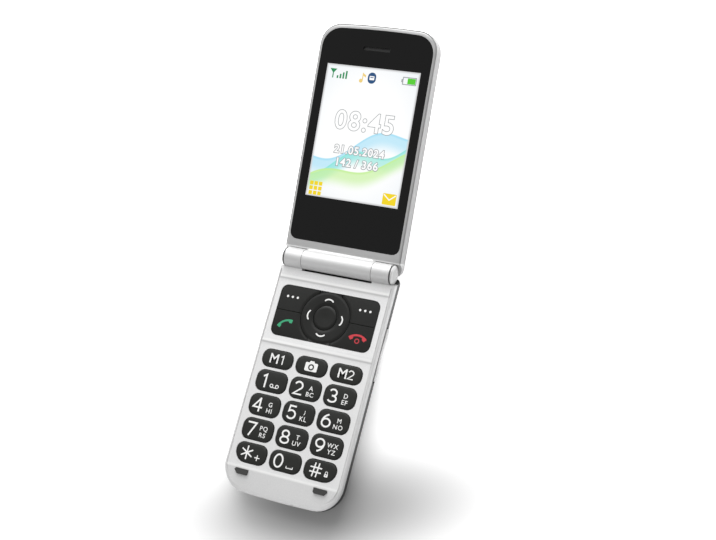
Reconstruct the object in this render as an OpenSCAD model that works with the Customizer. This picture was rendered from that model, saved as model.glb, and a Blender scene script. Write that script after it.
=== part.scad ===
// Flip phone, opened. The keypad half lies on its back; the lid rises beyond the hinge.
// Each half is drawn from the hinge axis outwards: x across, y the distance from the axis.

/* [Keypad half] */
// Width of both halves
body_w = 54; // [52:0.5:66]
// Hinge axis to the end of the chin
base_l = 102.2; // [100:0.1:124]
// Thickness of the keypad half
base_h = 10.6; // [10:0.1:13]
// Length of the sloping chin
chin_l = 10.1; // [8:0.1:13]
// Fall of the chin over its length
chin_drop = 1.5; // [0.5:0.1:1.5]
// How much wider the rounded edge is at the end of the chin
chin_edge = 0.75; // [0.3:0.05:1]
// Corner radius at the chin
chin_r = 11.3; // [8:0.1:14]
// Radius of the bow across each free end
bow_r = 400; // [150:10:600]
// Wall of the moulded shells
wall = 1.4; // [1.1:0.05:1.7]
// Thickness of the keypad face
face_t = 1.1; // [0.9:0.05:1.4]
// Height of the battery cover's rim
cover_h = 2.3; // [2:0.1:2.8]
// Height of the silver side wall
side_h = 2.9; // [2.8:0.1:3.3]
// Gap left at a joint line between two mouldings
seam_gap = 0.1; // [0.05:0.05:0.2]

/* [Hinge] */
// Opening angle of the lid
open_angle = 166; // [150:1:170]
// Radius of the hinge barrel and knuckles
barrel_r = 4.3; // [4:0.1:5]
// Length of the lid's middle barrel
barrel_w = 32.4; // [30:0.2:36]
// Space around the middle barrel in the keypad half
barrel_gap = 0.9; // [0.8:0.05:1.2]
// Space between the lid and the outer knuckles
knuckle_gap = 0.3; // [0.25:0.05:0.5]
// End play between barrel and knuckles on each side
end_play = 0.2; // [0.15:0.05:0.4]
// Length of each outer knuckle
knuckle_w = 8; // [7:0.1:9]
// Outer radius of the hinge pin
pin_r = 2.6; // [2.4:0.05:2.8]
// Radius of the cam shaft's stub
stub_r = 1.4; // [1.2:0.05:1.6]
// Radial clearance of the turning fits
run_gap = 0.05; // [0.02:0.01:0.08]

/* [Keypad] */
// Distance from the hinge axis to the top of the first row of digits
digit_top = 50.05; // [48:0.05:54]
// Spacing of the rows of keys
row_pitch = 10.47; // [9.8:0.01:10.5]
// Height of a digit key
key_h = 9.1; // [7.5:0.1:9.2]
// Height of a key in the shorter last row
last_key_h = 8.4; // [7:0.1:8.6]
// Height of a key in the row above the digits
upper_key_h = 7.7; // [6:0.1:8]
// Space between neighbouring keys
key_space = 1.5; // [1.2:0.1:3]
// Plain margin beside the keys
key_margin = 3.8; // [3.6:0.1:6]
// Corner radius of a key
key_r = 3.3; // [2:0.1:3.6]
// Corner radius of the outer corners of the last row
last_corner_r = 5; // [3:0.1:6]
// How far the keys stand out of the face
key_proud = 0.1; // [0:0.05:0.3]
// How far the navigation pieces stand out of the face
nav_proud = 0; // [-0.1:0.05:0.1]
// Gap around each key
key_gap = 0.15; // [0.1:0.05:0.3]
// Travel of a key
key_travel = 0.3; // [0.2:0.05:0.3]

/* [Navigation panel] */
// Distance from the hinge axis to the middle of the panel
panel_y = 23.4; // [22:0.1:26]
// Height of the panel
panel_h = 22.7; // [20:0.1:25]
// Corner radius of the panel
panel_r = 3.2; // [2:0.1:5]
// Radius of the confirm key
ok_r = 5.2; // [4:0.1:6]

/* [Side key and socket] */
// Distance from the hinge axis to the middle of the side key
side_key_y = 33.5; // [30:0.5:60]
// Length of the side key
side_key_l = 23; // [18:0.5:27]
// Height of the side key
side_key_h = 2.1; // [1.8:0.1:2.4]
// Width of the charging socket
usb_w = 7.8; // [7:0.1:9]
// Height of the charging socket
usb_h = 2.7; // [2.4:0.1:2.8]

/* [Battery] */
// Width of the battery
battery_w = 35; // [30:0.5:38]
// Length of the battery
battery_l = 51; // [45:0.5:52]
// Distance from the hinge axis to the battery
battery_y = 40.5; // [39:0.5:44]

/* [Lid] */
// Hinge axis to the tip of the lid
lid_l = 103.2; // [101:0.1:125]
// Thickness of the lid
lid_h = 7.8; // [7.4:0.1:9.4]
// Gap between the closed halves
face_gap = 0.4; // [0.3:0.05:0.6]
// Corner radius at the tip
tip_r = 9.1; // [7:0.1:13]
// Silver band at the tip of the outer face
tip_band = 4.2; // [3:0.1:6]
// Silver rim around the main window
window_rim = 1.4; // [1.2:0.1:2]
// Silver rim between the window and the tip
tip_rim = 2; // [1.4:0.1:3]
// Distance from the hinge axis to the main window
window_y = 8.2; // [7.6:0.1:10]
// Thickness of the main window
window_t = 0.9; // [0.7:0.05:1]
// Width of the main display's picture
screen_w = 43.2; // [36:0.1:44]
// Height of the main display's picture
screen_h = 57.6; // [48:0.1:58]
// Distance from the hinge axis to the picture
screen_y = 27.6; // [26:0.1:30]
// Width of the earpiece slot
ear_w = 12.5; // [8:0.5:14]

/* [Outer face of the lid] */
// Width of the trim ring around the outer display
trim_w = 37.1; // [34:0.1:40]
// Height of the trim ring
trim_l = 47.8; // [45:0.1:52]
// Width of the trim ring's section
trim_t = 0.8; // [0.5:0.05:1.2]
// Distance from the hinge axis to the trim ring
trim_y = 25; // [23:0.5:28]
// Width of the outer display's picture
outer_w = 28; // [24:0.1:29]
// Height of the outer display's picture
outer_h = 35; // [30:0.1:36]
// Distance from the hinge axis to the camera
camera_y = 13.3; // [12:0.1:15]
// Radius of the camera ring
camera_r = 3.4; // [3:0.1:4]
// Distance from the camera to the flash
flash_x = 8.7; // [7:0.1:11]

/* [Hidden] */

$fn = 48;
eps = 0.01;
silver = [0.86, 0.86, 0.85];
key_grey = [0.2, 0.2, 0.19];
gloss_black = [0.03, 0.03, 0.04];
steel = [0.72, 0.73, 0.75];
board_green = [0.12, 0.36, 0.24];

// The two halves' places: the keypad half is centred on the resting face
axis_y = (base_l - barrel_r) / 2;
axis_z = base_h;
seam_z = base_h - side_h;               // joint line between the front cover and the rear housing
ridge_y = base_l - chin_l;
base_y0 = 0.4;                          // rear wall of the keypad half
recess_r = barrel_r + barrel_gap;
inner_y0 = recess_r + wall + 0.2;       // where the hollow behind the hinge starts
knuckle_x = barrel_w / 2 + end_play;
cap_x = knuckle_x + knuckle_w;
field_w = body_w - 2 * key_margin;      // the keys and the panel share this width
key_w = (field_w - 2 * key_space) / 3;
key_top_z = base_h + key_proud;
nav_top_z = base_h + nav_proud;
face_in_z = base_h - face_t;
flange_t = 0.4;
flange_z = face_in_z - 0.15 - flange_t;
flange_rim = 0.5;
mat_t = 0.4;
mat_z = flange_z - key_travel - 0.05 - mat_t;
dome_z = mat_z - 0.45;
dome_t = 0.15;
board_t = 0.8;
board_z = dome_z - 0.05 - board_t;
floor_z = board_z - 0.3;                // floor of the tray that holds the board
boss_z = floor_z + 0.2;                 // end of the keypad cover's screw bosses
bay_z = floor_z - 0.8;                  // ceiling of the battery bay
battery_z = 1.2;
rest_t = 1;                             // wall of the battery cover
usb_z = board_z - 0.1 - usb_h;
side_key_z = seam_z - 1.7;
panel_w = field_w;
ring_r = panel_h / 2 - key_gap - 0.1;
nav_gap = 0.25;
bumper_y = ridge_y + 1.7;
bumper_x = body_w / 2 - 8.7;
screw_y = [inner_y0 + 2.2, base_l - 5.3];
screw_x = [body_w / 2 - 6, body_w / 2 - 9];
screw_r = 0.6;
screw_head_r = 1.2;
screw_head_t = 0.6;
screw_bite = 0.8;                       // how far a screw reaches into its boss
boss_r = 1.7;

// Lid levels, counted from the hinge axis towards the viewer
lid_face = -face_gap;
lid_back = lid_face - lid_h;
window_z = lid_face - 0.1;
shelf_z = window_z - window_t - 0.05;
shelf_t = 0.85;
cover_z = lid_face - 5.2;               // joint line of frame and back cover
skin_z = lid_back + 1.2;                // inner face of the back cover
lid_y0 = -1;                            // the back reaches past the axis, behind the knuckles
lid_in_y0 = window_y + 0.2;
window_w = body_w - 2 * window_rim;
window_tip = lid_l - tip_rim;
display_border = [1.9, 3];
display_t = 1.8;
display_z = shelf_z - 0.05 - display_t;
lid_board_z = display_z - 0.2 - 0.7;
outer_z = lid_back + 0.95;              // bottom of the pocket for the outer window
outer_y = trim_y + 4.5;
ear_y = lid_l - 10.1;
lid_screw_y = [13, lid_l - 8];
lid_screw_x = body_w / 2 - 6.5;

// ---- outlines ----

// Arc of n steps from angle a to angle b
function arc(c, r, a, b, n) =
    [for (i = [0:n]) c + r * [cos(a + (b - a) * i / n), sin(a + (b - a) * i / n)]];

// Rounded rectangle about c; radii run right-top, left-top, left-bottom, right-bottom
function rounded(w, h, radii, inset = 0, c = [0, 0], n = 5) = [
    for (k = [0:3])
        let (sx = (k == 0 || k == 3) ? 1 : -1, sy = k < 2 ? 1 : -1, r = radii[k])
            each arc(c + [sx * (w / 2 - r), sy * (h / 2 - r)], max(r - inset, 0.05),
                90 * k, 90 * k + 90, n)
];

// Half the angle of the bow across an end with corners of radius r, and the corner's centre
function bow_angle(w, r) = asin((w / 2 - r) / (bow_r - r));
function corner_center(w, y1, r) =
    [w / 2 - r, y1 - bow_r + (bow_r - r) * cos(bow_angle(w, r))];

// Half of a phone seen from above: straight end at y0, bowed end at y1, and a point of the
// outline at each height in creases
function body_outline(w, y0, y1, r0, r1, inset = 0, creases = [], n = 8) =
    let (
        b = bow_angle(w, r1),
        c = corner_center(w, y1, r1),
        r = r1 - inset,
        count = len(creases),
        side = [for (y = creases) [c[0] + sqrt(r * r - pow(max(y - c[1], 0), 2)), y]],
        split = count == 0 ? 0 : asin(max(creases[count - 1] - c[1], 0) / r),
        round_end = arc(c, r, split, 90 - b, n),
        right = concat(arc([w / 2 - r0, y0 + r0], max(r0 - inset, 0.05), -90, 0, 4), side,
            [for (i = [count == 0 ? 0 : 1:n]) round_end[i]]),
        bow = arc([0, y1 - bow_r], bow_r - inset, 90 - b, 90 + b, 6),
        last = len(right) - 1
    )
    concat(right, [for (i = [1:5]) bow[i]], [for (i = [last:-1:0]) [-right[i][0], right[i][1]]]);

// Fall of the keypad face along the phone: pairs of distance from the axis and depth. A
// shallow step lies above and below the panel, and a low lip runs before the chin.
step_y = [panel_y - panel_h / 2 - 3, panel_y + panel_h / 2 + 3];
face_fall = [[step_y[0], -0.05], [step_y[0] + 0.8, 0.09], [step_y[0] + 1.5, 0.13],
    [step_y[0] + 2.4, 0.15], [step_y[1] - 2.5, 0.15], [step_y[1] - 0.1, 0.02],
    [step_y[1] + 0.7, 0.18], [step_y[1] + 1.4, 0.23], [step_y[1] + 2.5, 0.25],
    [ridge_y - 1.7, 0.25], [ridge_y - 0.2, 0.15], [ridge_y + 0.3, 0.19],
    [base_l, 0.25 + chin_drop]];
// The hollow under it only follows the chin
inner_fall = [[ridge_y - 2, 0], [ridge_y, 0], [base_l, chin_drop]];

// ---- solids from outlines ----

// Skins a stack of point rings of equal length, lowest ring first. Each index in creases
// joins two points of the top ring by a fold line across it.
module skin(rings, creases = []) {
    n = len(rings[0]);
    top = (len(rings) - 1) * n;
    last = len(creases) - 1;
    sides = [
        for (k = [0:len(rings) - 2], i = [0:n - 1])
            let (a = k * n + i, b = k * n + (i + 1) % n)
                each [[a, a + n, b + n], [a, b + n, b]]
    ];
    bottom = [for (i = [0:n - 1]) i];
    tops = last < 0
        ? [[for (i = [n - 1:-1:0]) top + i]]
        : concat(
            [[for (i = [creases[0]:-1:0]) top + i, for (i = [n - 1:-1:n - 1 - creases[0]]) top + i]],
            [for (k = [0:1:last - 1]) let (a = creases[k], b = creases[k + 1])
                [for (i = [n - 1 - a, n - 1 - b, b, a]) top + i]],
            [[for (i = [n - 1 - creases[last]:-1:creases[last]]) top + i]]);
    polyhedron(points = [for (r = rings) each r], faces = concat(sides, [bottom], tops));
}

// Stack of outlines. Each level is [inset, height, share of the fall, setback of the bowed end].
module body_skin(w, y0, y1, r0, r1, levels, fall = []) {
    creases = [for (i = [0:1:len(fall) - 2]) fall[i][0]];
    rings = [
        for (l = levels)
            [for (p = body_outline(w, y0, y1 - (len(l) > 3 ? l[3] : 0), r0, r1, l[0], creases))
                [p[0], p[1], l[1] - (l[2] == 0 ? 0 : l[2] * lookup(p[1], fall))]]
    ];
    skin(rings, [for (i = [0:1:len(creases) - 1]) 5 + i]);
}

module prism(points, z0, z1) {
    translate([0, 0, z0]) linear_extrude(z1 - z0) polygon(points);
}

module box(w, y0, y1, z0, z1, x = 0) {
    translate([x - w / 2, y0, z0]) cube([w, y1 - y0, z1 - z0]);
}

module post(x, y, r, z0, z1) {
    translate([x, y, z0]) cylinder(r = r, h = z1 - z0);
}

// Round bar along the hinge axis, from x0 to x1
module axle(r, x0, x1) {
    translate([x0, 0, 0]) rotate([0, 90, 0]) cylinder(r = r, h = x1 - x0);
}

// Profile of [y, z] points drawn across the phone, from x0 to x1
module across(points, x0, x1) {
    translate([x0, 0, 0]) rotate([90, 0, 90]) linear_extrude(x1 - x0) polygon(points);
}

module pair() {
    children();
    mirror([1, 0, 0]) children();
}

// Places a keypad-half piece: its y runs from the hinge axis towards the chin
module on_base() {
    translate([0, axis_y, 0]) mirror([0, 1, 0]) children();
}

// Places a piece on the hinge axis of the keypad half
module on_axis() {
    translate([0, axis_y, axis_z]) children();
}

// Places a lid piece: its y runs from the hinge axis towards the tip, z faces the viewer
module on_lid() {
    on_axis() rotate([180 - open_angle, 0, 0]) children();
}

// ---- keypad half: shells ----

module base_skin(levels, y0 = base_y0, r0 = 1.6, fall = []) {
    body_skin(body_w, y0, base_l, r0, chin_r, levels, fall);
}

module side_key_slot() {
    length = side_key_l + 0.8;
    height = side_key_h + 0.4;
    translate([body_w / 2 - 2.3, side_key_y - length / 2, side_key_z - height / 2])
        cube([4, length, height]);
}

module usb_opening() {
    box(usb_w + 0.3, base_l - 6.5, base_l + 1, usb_z - 0.15, usb_z + usb_h + 0.15);
}

// Groove between the face and the edge that frames it; it runs out in the chin's corners
module edge_groove() {
    difference() {
        base_skin([[1, base_h - 0.45, 0.6, chin_edge], [1, base_h + 1, 0.6, chin_edge]],
            fall = face_fall);
        base_skin([[1.4, base_h - 1.2, 1, chin_edge], [1.4, base_h + 2, 1, chin_edge]],
            fall = face_fall);
        box(body_w, -1, recess_r + 0.6, 0, 2 * base_h);
    }
}

module front_cover() {
    color(silver) on_base() difference() {
        union() {
            base_skin([[0, seam_z, 0], [0, base_h - 1, 1], [0.12, base_h - 0.55, 1, 0.1],
                [0.42, base_h - 0.2, 1, 0.4 * chin_edge], [0.95, base_h, 1, chin_edge]],
                fall = face_fall);
            pair() translate([0, 0, axis_z]) axle(barrel_r, knuckle_x, cap_x);
            cover_bosses(boss_z, seam_z + 0.4);
        }
        difference() {
            base_skin([[wall, seam_z - 1, 0], [wall, face_in_z, 1]], inner_y0, 2, inner_fall);
            cover_bosses(floor_z - 1, base_h);
        }
        edge_groove();
        translate([0, 0, axis_z]) axle(recess_r, -knuckle_x - eps, knuckle_x + eps);
        translate([0, 0, axis_z]) axle(pin_r, -cap_x - 1, -barrel_w / 2 + 1);
        translate([0, 0, axis_z]) axle(cartridge_r + 0.03, barrel_w / 2, cap_x + 1);
        pair() translate([0, 0, axis_z]) axle(barrel_r - 0.05, cap_x, body_w);
        for (k = [0:14]) prism(key_outline(k, -key_gap), seam_z, base_h + 2);
        prism(panel_outline(0), seam_z, base_h + 2);
        pair() prism(bumper_outline(0.05), base_h - 1, base_h + 2);
        for (i = [0, 1]) pair() post(screw_x[i], screw_y[i], screw_r + 0.03, 0, face_in_z - 1);
        // microphone opening and slit in the end of the chin
        box(1.3, base_l - 0.7, base_l + 1, seam_z + 0.35, seam_z + 0.85, 6.9);
        box(2.3, base_l - 0.5, base_l + 1, seam_z + 0.3, seam_z + 0.6, -5.6);
    }
}

module cover_bosses(z0, z1) {
    for (i = [0, 1]) pair() post(screw_x[i], screw_y[i], boss_r, z0, z1);
}

bay = [battery_w + 0.8, battery_y - 0.4, battery_y + battery_l + 0.4];
speaker_at = [12, 18.5];
motor_at = [-15, 16];
speaker_r = 6.5;
motor_r = 4;
sim_size = [17, 13];
sim_y = battery_y - 18.1;

module rear_housing() {
    color(gloss_black) on_base() difference() {
        base_skin([[1, cover_h + seam_gap, 0], [0.55, cover_h + 1.2, 0], [0.2, cover_h + 2.4, 0],
            [0, cover_h + 3.5, 0], [0, seam_z - seam_gap, 0]]);
        // tray that holds the board
        base_skin([[wall, floor_z, 0], [wall, seam_z + 1, 0]], inner_y0, 2);
        box(bay[0], bay[1], bay[2], 0, bay_z);
        box(contact_w + 0.4, battery_y - 4, battery_y, 0, bay_z);
        post(speaker_at[0], speaker_at[1], speaker_r + 0.2, 0, speaker_z + speaker_t + 0.1);
        post(motor_at[0], motor_at[1], motor_r + 0.2, 0, motor_z + motor_t + 0.1);
        box(sim_size[0] + 0.4, sim_y - 0.2, sim_y + sim_size[1] + 0.2, 0, sim_z + 1.7, -6.5);
        box(antenna_w + 0.4, antenna_y - 0.2, antenna_y + antenna_l + 0.2, 0, antenna_z + 1.2);
        // clearance under the knuckles and the middle barrel
        translate([0, 0, axis_z]) axle(recess_r, -knuckle_x - eps, knuckle_x + eps);
        translate([0, 0, axis_z]) axle(barrel_r + 0.1, -body_w, body_w);
        for (i = [0, 1]) pair() {
            post(screw_x[i], screw_y[i], screw_r + 0.2, 0, base_h);
            post(screw_x[i], screw_y[i], screw_head_r + 0.2, 0, screw_z + 0.7);
            post(screw_x[i], screw_y[i], boss_r + 0.1, floor_z + 0.1, base_h);
        }
        side_key_slot();
        usb_opening();
    }
}

module battery_cover() {
    slots = 5;
    color(gloss_black) on_base() difference() {
        base_skin([[3.4, 0, 0], [2.3, 0.35, 0], [1.6, 1.1, 0], [1.02, cover_h, 0]],
            base_y0 + 0.3, 4);
        base_skin([[3.4, rest_t, 0], [2.3, cover_h + 1, 0]], base_y0 + 1, 4.5);
        for (i = [0:slots - 1])
            prism(rounded(1.1, 8, [0.5, 0.5, 0.5, 0.5], 0,
                speaker_at + [(i - (slots - 1) / 2) * 2.2, 0]), -1, rest_t + 1);
        // nail notch in the end of the rim
        translate([-14, base_l + 0.2, cover_h + 0.3]) rotate([90, 0, 0])
            cylinder(r = 3, h = 3.2, center = true);
    }
}

// ---- keypad half: inner pieces ----

contact_w = 12;
speaker_t = 2.8;
speaker_z = cover_h + 0.2;
motor_t = 2.7;
motor_z = cover_h + 0.2;
sim_z = cover_h + 0.3;
antenna_w = 26;
antenna_y = base_l - 9.2;
antenna_l = 4.4;
antenna_z = cover_h + 0.2;
screw_z = cover_h + 0.5;

module battery() {
    color([0.25, 0.27, 0.3]) on_base() difference() {
        prism(rounded(battery_w, battery_l, [1, 1, 1, 1], 0,
            [0, battery_y + battery_l / 2]), battery_z, bay_z - 0.1);
        for (i = [-1:1]) box(2, battery_y - 1, battery_y + 0.4, battery_z + 1.4, bay_z - 1.2, i * 3.6);
    }
}

module battery_contacts() {
    color([0.85, 0.7, 0.35]) on_base() {
        difference() {
            box(contact_w, battery_y - 3.8, battery_y - 1, battery_z + 1.3, bay_z - 0.1);
            for (i = [-1:1]) box(1.8, battery_y - 2.6, battery_y, battery_z + 1.5, bay_z - 1, i * 3.6);
        }
        for (i = [-1:1]) box(1.4, battery_y - 2.61, battery_y - 0.1, battery_z + 2, bay_z - 1.3, i * 3.6);
    }
}

module main_board() {
    y1 = ridge_y + 1.5;
    color(board_green) on_base() {
        difference() {
            union() {
                prism(rounded(body_w - 9, y1 - inner_y0 - 4.4, [6, 6, 2, 2], 0,
                    [0, (inner_y0 + 4.4 + y1) / 2]), board_z, board_z + board_t);
                box(usb_w + 4, y1 - 1, base_l - 3.4, board_z, board_z + board_t);
            }
            post(-body_w / 2 + 7, 38.5, 0.8, 0, base_h);
            post(body_w / 2 - 7, 38.5, 0.8, 0, base_h);
        }
    }
}

module dome_sheet() {
    y0 = inner_y0 + 5.2;
    y1 = key_end_y + 0.6;
    color([0.8, 0.8, 0.78]) on_base() {
        box(body_w - 8.6, y0, y1, dome_z, dome_z + dome_t);
        for (k = [0:14])
            post(key_center(k)[0], key_center(k)[1], 2.4, dome_z + dome_t - eps, dome_z + 0.38);
        for (a = [0:90:270]) post(8.4 * cos(a), panel_y + 8.4 * sin(a), 1.8, dome_z + dome_t - eps, dome_z + 0.38);
        post(0, panel_y, 2.4, dome_z + dome_t - eps, dome_z + 0.38);
        pair() for (s = [-1, 1])
            post(panel_w / 2 - 6, panel_y + s * 5.6, 2.4, dome_z + dome_t - eps, dome_z + 0.38);
    }
}

module keypad_mat() {
    y0 = inner_y0 + 4.6;
    y1 = key_end_y + 1.2;
    color([0.12, 0.12, 0.12]) on_base()
        prism(rounded(body_w - 6.4, y1 - y0, [4, 4, 2, 2], 0, [0, (y0 + y1) / 2]), mat_z, mat_z + mat_t);
}

module usb_socket() {
    y0 = base_l - 6;
    y1 = base_l - 0.6;
    t = 0.3;
    color(steel) on_base() {
        difference() {
            box(usb_w, y0, y1, usb_z, usb_z + usb_h);
            box(usb_w - 2 * t, y0 + 1, y1 + 1, usb_z + t, usb_z + usb_h - t);
        }
        box(usb_w - 2.4, y0 + 0.9, y1 - 0.6, usb_z + usb_h / 2 - 0.3, usb_z + usb_h / 2 + 0.3);
    }
}

module loudspeaker() {
    color([0.16, 0.16, 0.17]) on_base() difference() {
        post(speaker_at[0], speaker_at[1], speaker_r, speaker_z, speaker_z + speaker_t);
        difference() {
            post(speaker_at[0], speaker_at[1], speaker_r - 0.9, 0, speaker_z + 0.5);
            post(speaker_at[0], speaker_at[1], 2.6, 0, speaker_z + 1);
        }
    }
}

module vibration_motor() {
    color(steel) on_base() {
        post(motor_at[0], motor_at[1], motor_r, motor_z, motor_z + motor_t);
    }
}

module sim_holder() {
    color(steel) on_base() difference() {
        box(sim_size[0], sim_y, sim_y + sim_size[1], sim_z, sim_z + 1.6, -6.5);
        box(sim_size[0] - 1.4, sim_y - 1, sim_y + sim_size[1] - 1.5, sim_z + 0.35, sim_z + 1.25, -6.5);
        prism(rounded(8, 7, [1, 1, 1, 1], 0, [-6.5, sim_y + sim_size[1] / 2]), 0, sim_z + 1);
    }
}

module antenna() {
    color([0.75, 0.55, 0.3]) on_base() difference() {
        box(antenna_w, antenna_y, antenna_y + antenna_l, antenna_z, antenna_z + 1);
        for (i = [-2:2]) box(1, antenna_y + 1.2, antenna_y + antenna_l - 1.2, 0, base_h, i * 4.6);
    }
}

module screw(x, y, z, length) {
    translate([x, y, z]) difference() {
        union() {
            cylinder(r = screw_head_r, h = screw_head_t);
            translate([0, 0, screw_head_t - eps]) cylinder(r = screw_r, h = length);
        }
        for (a = [0, 90]) rotate(a) translate([-0.65, -0.15, -1]) cube([1.3, 0.3, 1.3]);
    }
}

module base_screws() {
    color(steel) on_base() for (i = [0, 1]) pair()
        screw(screw_x[i], screw_y[i], screw_z, boss_z + screw_bite - screw_z - screw_head_t);
}

// Parallelogram pad with its outer lower corner cut off
function bumper_outline(grow) = let (w = 3.1 + grow, h = 1.15 + grow)
    [for (p = [[-w, -h], [w - 0.5, -h], [w, -h * 0.3], [w * 0.55, h], [-w + 0.6, h], [-w, h * 0.5]])
        [bumper_x + p[0], bumper_y + p[1]]];

module lid_bumpers() {
    color(key_grey) on_base() pair() prism(bumper_outline(0), base_h - 0.95, base_h + 0.2);
}

// ---- keys ----

key_rows = [
    [digit_top - upper_key_h - key_space + 0.1, upper_key_h],
    for (i = [0:2]) [digit_top + i * row_pitch, key_h],
    [digit_top + 3 * row_pitch, last_key_h]
];
key_end_y = key_rows[4][0] + last_key_h;

function key_center(k) = let (row = key_rows[floor(k / 3)])
    [(k % 3 - 1) * (key_w + key_space), row[0] + row[1] / 2];

// Outline of key k, counted from the top left; a negative inset grows it
function key_outline(k, inset) = let (
        h = key_rows[floor(k / 3)][1],
        right = k == 14 ? last_corner_r : key_r,
        left = k == 12 ? last_corner_r : key_r
    )
    rounded(key_w, h, [right, left, key_r, key_r], inset, key_center(k));

// A cap with a softly rounded edge on a flange that the front cover holds down
module key_cap(k) {
    h = key_rows[floor(k / 3)][1];
    levels = [[0, flange_z + flange_t - eps], [0, key_top_z - 0.45], [0.2, key_top_z - 0.12],
        [0.7, key_top_z]];
    color(key_grey) on_base() {
        skin([for (l = levels) [for (p = key_outline(k, l[0])) [p[0], p[1], l[1]]]]);
        translate([key_center(k)[0], key_center(k)[1], flange_z])
            linear_extrude(flange_t)
                square([key_w - 2 * flange_rim, h + 2 * flange_rim - 0.3], center = true);
    }
}

function panel_outline(inset) =
    rounded(panel_w, panel_h, [for (i = [0:3]) panel_r], inset, [0, panel_y]);

// Soft hollow along the ring's outer edge, shared by the ring and the corner keys
module ring_hollow() {
    r = ring_r + nav_gap / 2;
    translate([0, panel_y, nav_top_z]) rotate_extrude()
        polygon([[r - 1.5, 0.02], [r - 0.7, -0.1], [r - 0.2, -0.28], [r + 0.2, -0.28],
            [r + 0.7, -0.1], [r + 1.5, 0.02]]);
}

// The quarter of the panel on one side of the ring: side is -1 or 1 across, end is 1 towards the chin
module corner_key(side, end) {
    color(key_grey) on_base() difference() {
        for (part = [0, 1])
            translate([0, 0, part == 0 ? flange_z : flange_z + flange_t - eps])
                linear_extrude(part == 0 ? flange_t : nav_top_z - flange_z - flange_t + eps)
                    difference() {
                        polygon(rounded(panel_w, panel_h, [for (i = [0:3]) panel_r],
                            part == 0 ? -flange_rim : key_gap, [0, panel_y]));
                        translate([0, panel_y]) circle(r = ring_r + nav_gap);
                        translate([side > 0 ? -panel_w : -5.4, panel_y - panel_h])
                            square([panel_w + 5.4, 2 * panel_h]);
                        translate([-panel_w, end > 0 ? panel_y - panel_h : panel_y - nav_gap / 2])
                            square([2 * panel_w, panel_h + nav_gap / 2]);
                    }
        ring_hollow();
    }
}

// Thin hub under the ring: it tips across, and the ring tips along it
module nav_carrier() {
    color([0.3, 0.3, 0.3]) on_base() difference() {
        post(0, panel_y, 7.2, mat_z + mat_t + 0.3, mat_z + mat_t + 0.45);
        post(0, panel_y, ok_r + 0.5, 0, 20);
    }
}

module nav_ring() {
    z0 = mat_z + mat_t + 0.75;
    r = ok_r + nav_gap;
    color(key_grey) on_base() difference() {
        translate([0, panel_y, z0]) linear_extrude(nav_top_z - z0) difference() {
            union() {
                circle(r = ring_r);
                square([10.2, 2 * ring_r], center = true);
            }
            circle(r = r);
        }
        ring_hollow();
        translate([0, panel_y, nav_top_z]) rotate_extrude()
            polygon([[0, 1], [0, -0.26], [r + 0.2, -0.26], [r + 0.7, -0.1], [r + 1.5, 0.02], [r + 1.5, 1]]);
    }
}

module ok_key() {
    // dished, with a rounded edge
    color(key_grey) on_base() translate([0, panel_y, nav_top_z]) rotate_extrude()
        polygon([[0, flange_z - nav_top_z], [ok_r, flange_z - nav_top_z], [ok_r, -0.26],
            [ok_r - 0.35, -0.1], [ok_r - 0.9, -0.02], [ok_r - 1.6, -0.06], [0, -0.18]]);
}

// Rocker in the right side wall, dished between its two ends
module volume_key() {
    x1 = body_w / 2 + 0.45;
    dish_r = 90;
    color(silver) on_base() translate([0, side_key_y, side_key_z]) difference() {
        translate([body_w / 2 - 1.6, 0, 0]) rotate([0, 90, 0]) linear_extrude(x1 - body_w / 2 + 1.6)
            polygon(rounded(side_key_h, side_key_l, [1, 1, 1, 1]));
        translate([x1 + dish_r - 0.3, 0, -5]) cylinder(r = dish_r, h = 10, $fn = 180);
    }
}

// ---- hinge ----

cartridge_r = pin_r + 0.35;
cartridge_x = [knuckle_x + 0.1, cap_x - 0.3];
shaft_x = 8;
follower_l = 2.3;

module hinge_end_caps() {
    r = barrel_r - 0.15;
    color(silver) on_axis() pair() rotate([0, 90, 0]) rotate_extrude()
        polygon([[0, cap_x - 0.25], [pin_r - 0.1, cap_x - 0.25], [pin_r - 0.1, cap_x + 0.35],
            [r, cap_x + 0.35], [r, cap_x + 0.7], [r - 0.25, cap_x + 1.15],
            [r - 0.8, cap_x + 1.5], [r - 1.6, cap_x + 1.7], [0, cap_x + 1.8]]);
}

module hinge_cartridge() {
    color(steel) on_axis() difference() {
        axle(cartridge_r, cartridge_x[0], cartridge_x[1]);
        axle(cartridge_r - 0.45, cartridge_x[0] + 0.7, cartridge_x[1] - 0.6);
        axle(stub_r + run_gap, 0, cartridge_x[0] + 1);
    }
}

module hinge_follower() {
    x0 = cartridge_x[0] + 0.75;
    color([0.6, 0.55, 0.45]) on_axis() difference() {
        axle(cartridge_r - 0.5, x0, x0 + follower_l);
        axle(stub_r + run_gap, 0, body_w);
    }
}

module hinge_spring() {
    x0 = cartridge_x[0] + 0.8 + follower_l;
    color(steel) on_axis() difference() {
        axle(cartridge_r - 0.65, x0, cartridge_x[1] - 0.65);
        axle(stub_r + 0.2, 0, body_w);
    }
}

module shaft_flat(depth) {
    translate([shaft_x - 1, -pin_r, pin_r - depth]) cube([20, 2 * pin_r, 2]);
}

// Cam shaft: its body is keyed into the lid's barrel by a flat, its stub turns in the cartridge
module hinge_shaft() {
    color([0.6, 0.6, 0.62]) on_lid() {
        difference() {
            axle(pin_r - run_gap, shaft_x, knuckle_x - 0.05);
            shaft_flat(0.6);
        }
        axle(stub_r, knuckle_x - 0.06, cartridge_x[0] + 1 + follower_l + 0.6);
    }
}

module hinge_pin() {
    color(steel) on_axis() difference() {
        axle(pin_r - 0.03, -cap_x + 1.6, -pin_x);
        axle(pin_r - 1, -body_w, body_w);
    }
}

pin_x = 11;                             // inner end of the hollow pin
flex_w = 5;
flex_r = pin_r - 0.1;
flex_x = -pin_x + 0.5;                  // the cable is rolled between pin and shaft

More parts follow.
